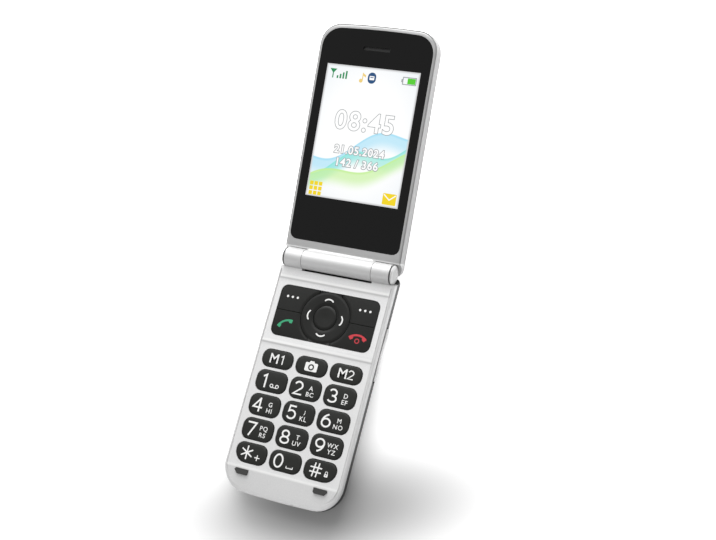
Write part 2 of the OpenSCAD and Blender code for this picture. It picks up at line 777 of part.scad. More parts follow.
module flex_cable() {
    color([0.8, 0.5, 0.2]) on_lid() {
        difference() {
            axle(flex_r, flex_x, flex_x + flex_w);
            axle(flex_r - 0.3, -body_w, body_w);
        }
        box(flex_w - 0.6, 0, lid_in_y0 + 4, -flex_r, -flex_r + 0.15, flex_x + flex_w / 2);
        box(flex_w - 0.6, lid_in_y0 + 1.4, lid_in_y0 + 4, lid_board_z + 0.75, -flex_r + 0.1,
            flex_x + flex_w / 2);
    }
}

// ---- lid shells ----

lid_levels = [[2.4, lid_back, 0], [1, lid_back + 0.4, 0], [0.3, lid_back + 1.1, 0],
    [0, lid_back + 1.9, 0], [0, lid_face - 1.2, 0], [0.08, lid_face - 0.55, 0],
    [0.32, lid_face - 0.9, 0], [0.5, lid_face - 0.35, 0], [0.95, lid_face, 0]];

module lid_form() {
    body_skin(body_w, lid_y0, lid_l, 4, tip_r, lid_levels);
}

// Plan of the black back cover; the silver tip stays outside it
module back_plan(grow, z0, z1) {
    prism(body_outline(body_w + 0.6, lid_y0 - 2, lid_l - tip_band + grow, 1, 8.3), z0, z1);
}

// Neck between barrel and lid, with a small ledge along the viewer's side
module neck() {
    r = recess_r - 0.33;
    x = barrel_w / 2 - 0.8;
    across([[0, -barrel_r + 0.1], [7, cover_z + 0.4], [7, lid_face - 0.01], [0, lid_face - 0.01]],
        -barrel_w / 2, barrel_w / 2);
    intersection() {
        across([[0, lid_face - 0.5], [r, lid_face - 0.5], [r, lid_face], [r - 0.06, 0.3],
            [r - 0.5, 0.62], [0, 1.5]], -x, x);
        prism([[-x - 1, 0], [x + 1, 0], [x + 1, r - 2], [x - 0.8, r + 0.2], [0.8 - x, r + 0.2],
            [-x - 1, r - 2]], lid_face - 1, 3);
    }
}

module lid_front_frame() {
    z_cut = [lid_back - 1, cover_z];
    color(silver) on_lid() difference() {
        union() {
            difference() {
                lid_form();
                back_plan(seam_gap, z_cut[0], z_cut[1]);
                axle(barrel_r + knuckle_gap, -body_w, body_w);
            }
            axle(barrel_r, -barrel_w / 2, barrel_w / 2);
            neck();
        }
        prism(window_outline(-0.08), shelf_z, 5);
        // hollow behind the shelf, with its screw bosses left standing
        difference() {
            prism(body_outline(body_w, lid_in_y0 - wall, lid_l - 3.2, 3, tip_r - 2.4, wall),
                lid_back + 1.6, shelf_z - shelf_t);
            lid_bosses(cover_z, 0, 1.9);
        }
        box(screen_w + 2 * display_border[0] + 0.4, screen_y - display_border[1] - 0.2,
            screen_y + screen_h + display_border[1] + 0.2, cover_z, 1);
        box(ear_w - 0.4, ear_y - 0.7, ear_y + 0.7, cover_z, 1);
        for (x = [-lid_screw_x, lid_screw_x], y = lid_screw_y) {
            post(x, y, screw_r + 0.2, cover_z - 1, 1);
            post(x, y, screw_head_r + 0.2, shelf_z - 0.7, 1);
        }
        axle(pin_r + run_gap - 0.03, -barrel_w / 2 - 1, -shaft_x + 3.4);
        difference() {
            axle(pin_r, shaft_x - 0.1, barrel_w / 2 + 1);
            shaft_flat(0.55);
        }
        box(flex_w, pin_r * 0.25, lid_in_y0 + eps, -flex_r - 0.25, -flex_r + 0.3, flex_x + flex_w / 2);
    }
}

module lid_bosses(z0, z1, r) {
    for (x = [-lid_screw_x, lid_screw_x], y = lid_screw_y) post(x, y, r, z0, z1);
}

module lid_back_cover() {
    color(gloss_black) on_lid() difference() {
        intersection() {
            lid_form();
            back_plan(0, lid_back - 1, cover_z - seam_gap);
        }
        difference() {
            prism(body_outline(body_w, lid_y0 + 0.9, lid_l - tip_band - 1.6, 4, 7, wall),
                skin_z, 0);
            lid_bosses(lid_back, cover_z - seam_gap, 1.6);
        }
        prism(trim_outline(-0.06), lid_back - 1, outer_z);
        box(outer_w + 1, outer_y - 0.5, outer_y + outer_h + 0.5, lid_back - 1, 0);
        post(0, camera_y, camera_r + 0.05, lid_back - 1, 0);
        post(flash_x, camera_y, 1.65, lid_back - 1, 0);
        lid_bosses(skin_z - 0.5, 0, screw_r + 0.03);
    }
}

// ---- lid: faces and inner pieces ----

function window_outline(inset) =
    body_outline(window_w, window_y, window_tip, 3.2, tip_r - window_rim + 0.5, inset);

function trim_outline(inset) =
    body_outline(trim_w, trim_y, trim_y + trim_l, 2.7, 2.7, inset);

module display_window() {
    color(gloss_black) on_lid() difference() {
        prism(window_outline(0), window_z - window_t, window_z);
        prism(rounded(ear_w, 1.5, [0.7, 0.7, 0.7, 0.7], 0, [0, ear_y]), -5, 5);
    }
}

module main_display() {
    color([0.85, 0.9, 0.95]) on_lid()
        box(screen_w + 2 * display_border[0], screen_y - display_border[1],
            screen_y + screen_h + display_border[1], display_z, display_z + display_t);
}

module lid_board() {
    color(board_green) on_lid()
        box(body_w - 18, lid_in_y0 + 1.2, ear_y - 4.4, lid_board_z, lid_board_z + 0.7);
}

module earpiece() {
    color(steel) on_lid()
        prism(rounded(13, 6.4, [2, 2, 2, 2], 0, [0, ear_y]), shelf_z - shelf_t - 2.2, shelf_z - shelf_t - 0.1);
}

module earpiece_mesh() {
    color([0.1, 0.1, 0.1]) on_lid()
        prism(rounded(ear_w - 0.2, 1.3, [0.6, 0.6, 0.6, 0.6], 0, [0, ear_y]),
            window_z - window_t, window_z - 0.6);
}

module outer_trim_ring() {
    color(steel) on_lid() difference() {
        prism(trim_outline(0), lid_back - 0.15, outer_z - 0.05);
        prism(trim_outline(trim_t), lid_back - 1, 0);
    }
}

module outer_window() {
    color(gloss_black) on_lid()
        prism(trim_outline(trim_t + 0.05), lid_back + 0.02, outer_z - 0.05);
}

module outer_display() {
    color([0.25, 0.25, 0.28]) on_lid()
        box(outer_w + 3, outer_y - 1.9, outer_y + outer_h + 1.9, skin_z + 0.05, skin_z + 1.5);
}

module camera_ring() {
    color(steel) on_lid() difference() {
        post(0, camera_y, camera_r, lid_back - 0.15, lid_back + 1.1);
        post(0, camera_y, camera_r - 0.7, lid_back - 1, 0);
    }
}

module camera_lens() {
    color([0.05, 0.05, 0.08]) on_lid()
        post(0, camera_y, camera_r - 0.75, lid_back + 0.15, lid_back + 0.9);
}

module camera_module() {
    color([0.1, 0.1, 0.1]) on_lid() {
        box(7.6, camera_y - 3.8, camera_y + 3.8, skin_z + 0.15, lid_board_z - 0.05);
        post(0, camera_y, camera_r - 1.2, lid_back + 0.95, skin_z + 0.2);
    }
}

module flash_lens() {
    color([0.95, 0.93, 0.75]) on_lid() post(flash_x, camera_y, 1.6, lid_back - 0.05, skin_z + 0.4);
}

module lid_screws() {
    color(steel) on_lid() for (x = [-lid_screw_x, lid_screw_x], y = lid_screw_y)
        translate([0, 0, 2 * shelf_z - 0.06]) mirror([0, 0, 1]) screw(x, y, shelf_z, 4.1);
}

front_cover();
rear_housing();
battery_cover();
battery();
battery_contacts();
main_board();
dome_sheet();
keypad_mat();
key_cap(0);  // key_m1
key_cap(1);  // key_camera
key_cap(2);  // key_m2
key_cap(3);  // key_1
key_cap(4);  // key_2
key_cap(5);  // key_3
key_cap(6);  // key_4
key_cap(7);  // key_5
key_cap(8);  // key_6
key_cap(9);  // key_7
key_cap(10);  // key_8
key_cap(11);  // key_9
key_cap(12);  // key_star
key_cap(13);  // key_0
key_cap(14);  // key_hash
corner_key(-1, -1);  // softkey_left
corner_key(1, -1);  // softkey_right
corner_key(-1, 1);  // call_key
corner_key(1, 1);  // end_key
nav_carrier();
nav_ring();
ok_key();
volume_key();
usb_socket();
loudspeaker();
vibration_motor();
sim_holder();
antenna();
base_screws();
lid_bumpers();
hinge_end_caps();
hinge_cartridge();
hinge_follower();
hinge_spring();
hinge_shaft();
hinge_pin();
flex_cable();
lid_front_frame();
lid_back_cover();
display_window();
main_display();
lid_board();
earpiece();
earpiece_mesh();
outer_trim_ring();
outer_window();
outer_display();
camera_ring();
camera_lens();
camera_module();
flash_lens();
lid_screws();
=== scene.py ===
"""Finishes, legends and lit displays for the flip phone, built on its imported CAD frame."""

import math

import bmesh
import bpy
from mathutils import Matrix, Vector


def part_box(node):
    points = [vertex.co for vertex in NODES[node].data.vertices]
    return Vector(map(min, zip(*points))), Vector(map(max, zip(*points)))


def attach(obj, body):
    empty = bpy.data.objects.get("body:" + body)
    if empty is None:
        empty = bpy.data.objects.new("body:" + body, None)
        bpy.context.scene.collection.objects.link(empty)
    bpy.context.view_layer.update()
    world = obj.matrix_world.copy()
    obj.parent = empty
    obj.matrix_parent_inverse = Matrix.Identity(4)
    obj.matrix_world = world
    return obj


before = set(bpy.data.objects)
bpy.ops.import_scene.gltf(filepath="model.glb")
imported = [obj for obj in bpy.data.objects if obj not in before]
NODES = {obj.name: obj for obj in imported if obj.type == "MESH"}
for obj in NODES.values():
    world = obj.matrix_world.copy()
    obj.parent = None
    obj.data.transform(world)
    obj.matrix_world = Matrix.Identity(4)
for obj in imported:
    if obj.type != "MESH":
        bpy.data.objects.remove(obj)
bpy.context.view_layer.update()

MM = 0.001
# The hinge axis, and the angle in degrees by which the open lid rises from it. A distance away
# from the axis is in millimetres along either half, like every size below that isn't in metres.
AXIS_Y, AXIS_Z = 0.04895, 0.0106
LID_RISE = 14
LID = Matrix.Translation((0, AXIS_Y, AXIS_Z)) @ Matrix.Rotation(math.radians(LID_RISE), 4, "X")


# ---- shader maths ----


class Value:
    """A shader socket. Arithmetic on it adds Math nodes to its finish."""

    def __init__(self, finish, link):
        self.finish = finish
        self.link = link

    def math(self, operation, *others):
        inputs = {i: v for i, v in enumerate((self,) + others)}
        return self.finish.node("ShaderNodeMath", {"operation": operation}, inputs)

    def back(self, operation, other):
        return self.finish.node("ShaderNodeMath", {"operation": operation}, {0: other, 1: self})

    def __add__(self, other):
        return self.math("ADD", other)

    def __sub__(self, other):
        return self.math("SUBTRACT", other)

    def __mul__(self, other):
        return self.math("MULTIPLY", other)

    def __truediv__(self, other):
        return self.math("DIVIDE", other)

    def __radd__(self, other):
        return self.back("ADD", other)

    def __rsub__(self, other):
        return self.back("SUBTRACT", other)

    def __rmul__(self, other):
        return self.back("MULTIPLY", other)

    def sin(self):
        return self.math("SINE")

    def abs(self):
        return self.math("ABSOLUTE")

    def high(self, other):
        return self.math("MAXIMUM", other)

    def low(self, other):
        return self.math("MINIMUM", other)

    def hypot(self, other):
        return (self * self + other * other).math("SQRT")

    def rise(self, start, end):
        """0 below start, 1 above end, with a soft step between them."""
        inputs = {"Value": self, "From Min": start, "From Max": end}
        settings = {"interpolation_type": "SMOOTHSTEP", "clamp": True}
        return self.finish.node("ShaderNodeMapRange", settings, inputs)


class Finish:
    """A material with one Principled shader and whatever nodes feed it."""

    def __init__(self, name, color, roughness, **sockets):
        self.material = bpy.data.materials.new(name)
        self.material.use_nodes = True
        self.tree = self.material.node_tree
        self.tree.nodes.clear()
        self.output = self.tree.nodes.new("ShaderNodeOutputMaterial")
        self.shader = self.tree.nodes.new("ShaderNodeBsdfPrincipled")
        self.tree.links.new(self.shader.outputs[0], self.output.inputs[0])
        self.set(Base_Color=color, Roughness=roughness, **sockets)

    def feed(self, socket, value):
        if isinstance(value, Value):
            self.tree.links.new(value.link, socket)
        elif isinstance(value, tuple) and len(value) == 3 and socket.type == "RGBA":
            socket.default_value = (*value, 1)
        else:
            socket.default_value = value

    def set(self, **sockets):
        for name, value in sockets.items():
            self.feed(self.shader.inputs[name.replace("_", " ")], value)

    def node(self, kind, settings=None, inputs=None, output=0):
        made = self.tree.nodes.new(kind)
        for name, value in (settings or {}).items():
            setattr(made, name, value)
        for key, value in (inputs or {}).items():
            self.feed(made.inputs[key], value)
        return Value(self, made.outputs[output])

    def place(self, frame_matrix=None):
        """The x, y and z of a point of the object, in millimetres, in the given frame."""
        where = self.node("ShaderNodeTexCoord", output=3)
        if frame_matrix is not None:
            inverse = frame_matrix.inverted()
            settings = {"vector_type": "POINT"}
            inputs = {
                "Vector": where,
                "Location": inverse.translation[:],
                "Rotation": inverse.to_euler()[:],
            }
            where = self.node("ShaderNodeMapping", settings, inputs)
        inputs = {0: where, 1: (1000, 1000, 1000)}
        scaled = self.node("ShaderNodeVectorMath", {"operation": "MULTIPLY"}, inputs)
        return tuple(
            self.node("ShaderNodeSeparateXYZ", inputs={0: scaled}, output=i) for i in range(3)
        )

    def noise(self, size, detail=2.0):
        """Noise whose blotches are about size millimetres across."""
        where = self.node("ShaderNodeTexCoord", output=3)
        inputs = {"Vector": where, "Scale": 1000 / size, "Detail": detail}
        return self.node("ShaderNodeTexNoise", {"noise_dimensions": "3D"}, inputs)

    def mix(self, factor, a, b):
        settings = {"data_type": "RGBA", "clamp_factor": True}
        return self.node("ShaderNodeMix", settings, {0: factor, 6: a, 7: b}, output=2)

    def bump(self, height, depth):
        """Raises the surface by height (0 to 1) times depth millimetres."""
        inputs = {"Height": height, "Distance": depth * MM, "Strength": 1.0}
        self.set(Normal=self.node("ShaderNodeBump", inputs=inputs))


# ---- finishes ----


def grey(tone):
    return tone, tone, tone


SILVER = 0.76   # tone of all the silver pieces


def silver_paint(name, shade=None):
    """Silver lacquer: fine flakes vary tone and gloss; shade paints a place's light and shade into
    the colour.
    """
    f = Finish(name, grey(SILVER), 0.42, Metallic=0.25, Coat_Weight=0.1, Coat_Roughness=0.18)
    flakes = f.noise(0.22, 3).rise(0.35, 0.68)
    cloud = f.noise(14, 2)
    bright = flakes * 0.6 + cloud * 0.4
    dark, light = SILVER * 0.91, SILVER * 1.07
    paint = f.mix(bright, (dark, dark, dark * 1.005), (light, light, light * 0.995))
    f.set(Base_Color=shade(f, paint) if shade else paint)
    f.set(Roughness=0.38 + flakes * 0.09 + cloud * 0.04)
    f.bump(f.noise(0.35, 2) * 0.7 + f.noise(2.2, 1) * 0.3, 0.004)
    return f


def satin_plastic(name, color, roughness, grain=0.15, depth=0.006, **sockets):
    """Moulded plastic with a spark-eroded grain."""
    f = Finish(name, color, roughness, **sockets)
    grit = f.noise(grain, 2)
    shade = f.noise(9, 2)
    low = tuple(c * 0.86 for c in color)
    high = tuple(min(c * 1.14, 1) for c in color)
    f.set(Base_Color=f.mix(shade * 0.5 + grit * 0.5, low, high))
    f.set(Roughness=roughness - 0.05 + grit * 0.1)
    f.bump(grit, depth)
    return f


def gloss_plastic(name, color, roughness=0.07, coat=0.5, **sockets):
    """Polished black lacquer with the faintest waviness and a few wiped smears."""
    f = Finish(name, color, roughness, Coat_Weight=coat, Coat_Roughness=0.03, **sockets)
    smear = f.noise(22, 3).rise(0.45, 0.75)
    f.set(Roughness=roughness + smear * 0.05)
    f.bump(f.noise(9, 1), 0.004)
    return f


def bare_metal(name, color, roughness, brushed=(1, 1, 1)):
    """Metal with drawing marks; brushed stretches them along an axis."""
    f = Finish(name, color, roughness, Metallic=1.0)
    where = f.node("ShaderNodeTexCoord", output=3)
    stretched = f.node("ShaderNodeMapping", inputs={"Vector": where, "Scale": brushed})
    marks = f.node("ShaderNodeTexNoise", inputs={"Vector": stretched, "Scale": 4000, "Detail": 2})
    low = tuple(c * 0.9 for c in color)
    f.set(Base_Color=f.mix(marks, low, color), Roughness=roughness - 0.06 + marks * 0.12)
    f.bump(marks, 0.002)
    return f


def circuit_board(name):
    """Green solder mask over faint tracks."""
    f = Finish(name, (0.02, 0.13, 0.06), 0.35, Coat_Weight=0.3, Coat_Roughness=0.2)
    x, y, _ = f.place()
    tracks = ((x * 5.2).sin() * (y * 3.1).sin()).rise(0.3, 0.5)
    f.set(Base_Color=f.mix(tracks, (0.015, 0.11, 0.05), (0.04, 0.2, 0.09)))
    f.bump(tracks, 0.02)
    return f


# Creases and beads run across the keypad half; these are their distances from the hinge axis.
CREASES = (9.45, 38.25)
BEADS = (8.6, 37.4, 91.9)
# Radius of the hinge barrel, end of the lid's ledge above it, and inner radius of a cap's rim
BARREL, LEDGE, CAP_RIM = 4.3, 5.05, 2.9
# painted shade: a darker grey on the barrel and the knuckles that tones down the lamps' glare on them
BARREL_PAINTED_SHADE = grey(0.56)
# The face's lowest height, half its width inside the edge groove, and where the end caps start
FACE_LOW, FACE_SIDE, CAP_START = 8.6, 25.9, 24.95


def stripes(away, places, core, reach):
    """1 within core of each place along the keypad half, 0 beyond reach from it."""
    return sum((1 - (away - at).abs().rise(core, reach) for at in places), 0)


def keypad_painted_light(f, paint):
    """Painted light: darker in the two creases of the keypad face and on the knuckles (painted
    shade), lighter on the beads beside them (painted highlight).
    """
    x, y, z = f.place()
    away = AXIS_Y / MM - y
    face = z.rise(FACE_LOW, FACE_LOW + 0.4) * (FACE_SIDE - x.abs()).rise(0, 0.5)
    crease = stripes(away, CREASES, 0.1, 0.75)
    bead = stripes(away, BEADS, 0.2, 0.9)
    knuckle = 1 - away.rise(BARREL - 0.05, BARREL + 0.3)
    # painted shade in the creases and on the knuckles, then painted highlight on the beads
    paint = f.mix(crease * face * 0.4, paint, grey(0.3))
    paint = f.mix(knuckle * 0.6, paint, BARREL_PAINTED_SHADE)
    return f.mix(bead * face * 0.55, paint, (0.92, 0.92, 0.91))


def lid_painted_shade(f, paint):
    """Painted shade: the lid's frame is darker than the ledge at its hinge, and the barrel lies
    between.
    """
    _, away, _ = f.place(LID)
    barrel = 1 - away.rise(BARREL, BARREL + 0.3)
    paint = f.mix(barrel * 0.6, paint, BARREL_PAINTED_SHADE)
    return f.mix(away.rise(LEDGE, LEDGE + 0.3), paint, grey(0.48))


def cap_painted_shade(f, paint):
    """Painted shade: a dark slit beside the knuckle, and a greyer middle within the cap's bright rim.
    """
    x, y, z = f.place()
    middle = 1 - (y - AXIS_Y / MM).hypot(z - AXIS_Z / MM).rise(CAP_RIM, CAP_RIM + 0.6)
    slit = 1 - x.abs().rise(CAP_START, CAP_START + 0.25)
    paint = f.mix(middle * 0.5, paint, grey(0.4))
    return f.mix(slit, paint, grey(0.08))


silver = silver_paint("silver_paint")
# the keypad, lid and cap silvers are copies of the silver with painted light and shade
keypad_silver_painted_light = silver_paint("keypad_silver_painted_light", keypad_painted_light)
lid_silver_painted_shade = silver_paint("lid_silver_painted_shade", lid_painted_shade)
cap_silver_painted_shade = silver_paint("cap_silver_painted_shade", cap_painted_shade)
cover_black = satin_plastic("cover_black", (0.012, 0.012, 0.013), 0.42, grain=0.3)
inner_black = satin_plastic("inner_black", grey(0.02), 0.55)
lid_black = gloss_plastic("lid_black", (0.004, 0.004, 0.0045))
window_black = gloss_plastic("window_black", grey(0.003), 0.05, coat=0, Specular_IOR_Level=0.36)
pad_rubber = satin_plastic("pad_rubber", (0.035, 0.035, 0.034), 0.7, grain=0.25, depth=0.02)
steel = bare_metal("steel", (0.62, 0.62, 0.64), 0.3, (1, 0.2, 1))
bright_trim = bare_metal("bright_trim", (0.82, 0.82, 0.83), 0.16)
gold = bare_metal("gold", (0.8, 0.56, 0.24), 0.28)
dome_metal = bare_metal("dome_metal", (0.7, 0.7, 0.68), 0.25)
board = circuit_board("board")
battery_sleeve = satin_plastic("battery_sleeve", (0.1, 0.11, 0.13), 0.4, grain=0.6, depth=0.01)
flex_film = satin_plastic("flex_film", (0.45, 0.2, 0.04), 0.35, grain=0.5)
module_glass = Finish("module_glass", (0.03, 0.035, 0.04), 0.08, Coat_Weight=0.4)


def key_finish(name, center, half, crown, tone=0.017):
    """Dark key plastic whose top is softly crowned (or dished, below zero) by its normals."""
    f = Finish(name, grey(tone), 0.4, Specular_IOR_Level=0.26)
    x, y, _ = f.place()
    grit = f.noise(0.12, 2)
    low, high = ((t, t * 1.05, t * 0.93) for t in (tone * 0.82, tone * 1.18))
    f.set(Base_Color=f.mix(f.noise(5, 2), low, high), Roughness=0.36 + grit * 0.12)
    # 0 in the middle, 1 at the sides and ends
    u = ((x - center[0]).abs() / half[0]).low(1)
    v = ((y - center[1]).abs() / half[1]).low(1)
    dome = 1 - (u * u * u + v * v * v) * 0.5
    fine = f.node("ShaderNodeBump", inputs={"Height": grit, "Distance": 0.005 * MM})
    height = dome if crown > 0 else 1 - dome
    inputs = {"Height": height, "Distance": abs(crown) * MM, "Normal": fine}
    f.set(Normal=f.node("ShaderNodeBump", inputs=inputs))
    return f


def printed(name, color):
    """Silk-screened ink, a little uneven in tone and gloss."""
    f = Finish(name, color, 0.5)
    speck = f.noise(0.3, 2)
    low = tuple(c * 0.93 for c in color)
    f.set(Base_Color=f.mix(speck, low, color), Roughness=0.45 + speck * 0.15)
    return f


ink_white = printed("ink_white", (0.86, 0.86, 0.85))
ink_green = printed("ink_green", (0.03, 0.36, 0.17))
ink_red = printed("ink_red", (0.58, 0.03, 0.045))


# ---- giving the CAD pieces their finish ----


WELD = 0.002    # points nearer than this are one
SHARP = 38      # edges that turn by more than this many degrees stay sharp


def dress(finish, *names):
    """Puts a finish on CAD nodes and lets their rounded edges shade smoothly."""
    for name in names:
        node = NODES[name]
        mesh = node.data
        mesh.materials.clear()
        mesh.materials.append(finish.material)
        if "custom_normal" in mesh.attributes:
            mesh.attributes.remove(mesh.attributes["custom_normal"])
        mesh.polygons.foreach_set("use_smooth", [True] * len(mesh.polygons))
        weld = node.modifiers.new("weld", "WELD")
        weld.merge_threshold = WELD * MM
        split = node.modifiers.new("split", "EDGE_SPLIT")
        split.split_angle = math.radians(SHARP)
        weight = node.modifiers.new("weight", "WEIGHTED_NORMAL")
        weight.keep_sharp = True


dress(silver, "volume_key")
dress(keypad_silver_painted_light, "front_cover")
dress(cap_silver_painted_shade, "hinge_end_caps")
dress(lid_silver_painted_shade, "lid_front_frame")
dress(cover_black, "rear_housing", "battery_cover")
dress(lid_black, "lid_back_cover")
dress(window_black, "display_window")
dress(inner_black, "loudspeaker", "camera_module", "earpiece_mesh", "nav_carrier", "keypad_mat")
dress(pad_rubber, "lid_bumpers")
dress(
    steel, "usb_socket", "vibration_motor", "sim_holder", "base_screws", "hinge_cartridge",
    "hinge_follower", "hinge_spring", "hinge_shaft", "hinge_pin", "earpiece", "lid_screws",
)
dress(bright_trim, "outer_trim_ring", "camera_ring")
dress(gold, "battery_contacts", "antenna")
dress(dome_metal, "dome_sheet")
dress(board, "main_board", "lid_board")
dress(battery_sleeve, "battery")
dress(flex_film, "flex_cable")
dress(module_glass, "main_display", "outer_display")


# ---- flat printed shapes ----


def arc_points(cx, cy, r, start, end, steps=12):
    """Points on a circle from angle start to end, in degrees."""
    return [
        (
            cx + r * math.cos(math.radians(start + (end - start) * i / steps)),
            cy + r * math.sin(math.radians(start + (end - start) * i / steps)),
        )
        for i in range(steps + 1)
    ]


def disc(cx, cy, r, steps=24):
    return arc_points(cx, cy, r, 0, 360 - 360 / steps, steps - 1)


def slab(cx, cy, w, h, r=0.0):
    """Outline of a rectangle with rounded corners."""
    if r <= 0:
        return [(cx - w / 2, cy - h / 2), (cx + w / 2, cy - h / 2), (cx + w / 2, cy + h / 2),
                (cx - w / 2, cy + h / 2)]
    points = []
    for sx, sy, start in ((1, 1, 0), (-1, 1, 90), (-1, -1, 180), (1, -1, 270)):
        points += arc_points(cx + sx * (w / 2 - r), cy + sy * (h / 2 - r), r, start, start + 90, 5)
    return points


def oval(cx, cy, rx, ry, start=0.0, end=345.0, steps=23):
    """Points on an ellipse from angle start to end, in degrees."""
    return [(cx + rx * x, cy + ry * y) for x, y in arc_points(0, 0, 1, start, end, steps)]


def stroke(points, width, blunt=False):
    """Outline of a line drawn through points, with mitred corners and round or blunt ends."""
    spots = [Vector(p) for p in points]
    ways = [(b - a).normalized() for a, b in zip(spots, spots[1:])]
    left, right = [], []
    for spot, before, after in zip(spots, [ways[0]] + ways, ways + [ways[-1]]):
        along = (before + after).normalized()
        side = Vector((-along.y, along.x)) * width / 2 / max(along.dot(before), 0.5)
        left.append(tuple(spot + side))
        right.append(tuple(spot - side))
    if blunt:
        return left + right[::-1]
    t0 = math.degrees(math.atan2(ways[0].y, ways[0].x))
    t1 = math.degrees(math.atan2(ways[-1].y, ways[-1].x))
    end = arc_points(*points[-1], width / 2, t1 + 90, t1 - 90, 6)
    start = arc_points(*points[0], width / 2, t0 - 90, t0 - 270, 6)
    return left + end[1:-1] + right[::-1] + start[1:-1]


def hoop(cx, cy, rx, ry, width):
    """Outlines of an oval ring drawn with a pen of the given width."""
    w = width / 2
    return [oval(cx, cy, rx + w, ry + w), oval(cx, cy, rx - w, ry - w)]


def flat_mesh(loops):
    """A face filled between closed outlines: an outline inside another is a hole."""
    curve = bpy.data.curves.new("outline", "CURVE")
    curve.dimensions = "2D"
    curve.fill_mode = "BOTH"
    for loop in loops:
        spline = curve.splines.new("POLY")
        spline.points.add(len(loop) - 1)
        for point, (x, y) in zip(spline.points, loop):
            point.co = (x * MM, y * MM, 0, 1)
        spline.use_cyclic_u = True
    return mesh_of(curve)


def mesh_of(curve):
    maker = bpy.data.objects.new("maker", curve)
    bpy.context.scene.collection.objects.link(maker)
    bpy.context.view_layer.update()
    mesh = bpy.data.meshes.new_from_object(maker.evaluated_get(bpy.context.evaluated_depsgraph_get()))
    bpy.data.objects.remove(maker)
    return mesh


def text_mesh(text, height, cx, cy, heavy=0.0, spread=1.0):
    """Lettering of the given capital height, centred on a point."""
    trial = 0.01
    curve = bpy.data.curves.new("lettering", "FONT")
    curve.body = text
    curve.size = trial
    curve.space_character = spread
    curve.resolution_u = 4
    curve.fill_mode = "FRONT"
    probe = mesh_of(curve)
    top = max(v.co.y for v in probe.vertices)
    if text == "J":
        # its tail reaches below the line, so the whole letter is made to fit
        top -= min(v.co.y for v in probe.vertices)
    curve.size = trial * height * MM / top
    curve.offset = heavy * MM
    mesh = mesh_of(curve)
    xs = [v.co.x for v in mesh.vertices]
    ys = [v.co.y for v in mesh.vertices]
    shift = (cx * MM - (min(xs) + max(xs)) / 2, cy * MM - (min(ys) + max(ys)) / 2, 0)
    mesh.transform(Matrix.Translation(shift))
    return mesh


LAYER = 0.002   # each mesh of a print lies this much above the one before


def print_on(name, meshes, finish, body, place):
    """Joins flat meshes into one printed piece, moves it into place and lets it ride on a body."""
    joined = bmesh.new()
    for i, mesh in enumerate(meshes):
        mesh.transform(Matrix.Translation((0, 0, i * LAYER * MM)))
        joined.from_mesh(mesh)
        bpy.data.meshes.remove(mesh)
    for face in joined.faces:
        if face.normal.z < 0:
            face.normal_flip()
    mesh = bpy.data.meshes.new(name)
    joined.to_mesh(mesh)
    joined.free()
    mesh.transform(place)
    mesh.materials.append(finish.material)
    piece = bpy.data.objects.new(name, mesh)
    bpy.context.scene.collection.objects.link(piece)
    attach(piece, body)


# ---- keys ----

# Heights of the keys' and the panel's tops, the ink's lift above them, and the panel's middle
KEY_TOP, NAV_TOP, INK_LIFT = 10.7, 10.6, 0.012
PANEL_Y = AXIS_Y / MM - 23.4


def at_key(node):
    """Place of a key's printed top, and its middle and half size in millimetres."""
    low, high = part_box(node)
    cx, cy = (low.x + high.x) / 2 / MM, (low.y + high.y) / 2 / MM
    half = ((high.x - low.x) / 2 / MM, (high.y - low.y) / 2 / MM - 0.35)
    return Matrix.Translation((cx * MM, cy * MM, (KEY_TOP + INK_LIFT) * MM)), (cx, cy), half


def handset(width, bow, thin, thick):
    """A telephone receiver lying along x, its ends hanging down; bow is its arc in degrees.
    It is thin in the middle and thick from the earpiece and the mouthpiece on."""
    r = width / 2 / math.sin(math.radians(bow / 2))
    back, front = [], []
    for i in range(25):
        t = i / 12 - 1
        angle = math.radians(90 - t * bow / 2)
        depth = thin + (thick - thin) * min(max((abs(t) - 0.5) / 0.14, 0), 1)
        back.append((r * math.cos(angle), r * math.sin(angle) - r))
        front.append(((r - depth) * math.cos(angle), (r - depth) * math.sin(angle) - r))
    return back + front[::-1]


def turned(points, angle, cx=0.0, cy=0.0):
    """Points turned by an angle in degrees about the origin, then moved."""
    c, s = math.cos(math.radians(angle)), math.sin(math.radians(angle))
    return [(cx + x * c - y * s, cy + x * s + y * c) for x, y in points]


# Letters of the digit keys, upper and lower row
LETTERS = {
    "key_2": ("A", "BC"), "key_3": ("D", "EF"), "key_4": ("G", "HI"), "key_5": ("J", "KL"),
    "key_6": ("M", "NO"), "key_7": ("PQ", "RS"), "key_8": ("T", "UV"), "key_9": ("WX", "YZ"),
}

# Strokes and rings (middle, radii) of the digits, drawn 6 mm high with a pen of this width
PEN = 0.74
DIGITS = {
    "1": [[(-0.95, 1.7), (0.45, 2.63), (0.45, -3)]],
    "2": [oval(-0.05, 1.0, 1.7, 1.63, 160, -35, 14) + [(-1.85, -2.63), (1.95, -2.63)]],
    "3": [oval(-0.15, 1.27, 1.55, 1.36, 155, -98, 14), oval(-0.2, -1.3, 1.9, 1.33, 98, -152, 14)],
    "4": [[(0.85, -3), (0.85, 2.9)], [(1, 2.95), (-1.95, -1.15), (2.2, -1.15)]],
    "5": [[(1.6, 2.63), (-1.2, 2.63), (-1.45, 0.35)] + oval(-0.15, -0.9, 1.9, 1.73, 125, -150, 16)],
    "6": [oval(1.75, -0.9, 3.6, 3.55, 106, 184, 10)],
    "7": [[(-1.95, 2.63), (1.95, 2.63), (-0.7, -3)]],
    "8": [],
    "9": [oval(-1.75, 0.9, 3.6, 3.55, -74, 4, 10)],
    "0": [],
}
RINGS = {
    "6": [(0, -0.95, 1.85, 1.68)], "8": [(0, 1.32, 1.5, 1.31), (0, -1.28, 1.85, 1.35)],
    "9": [(0, 0.95, 1.85, 1.68)], "0": [(0, 0, 1.85, 2.63)],
}


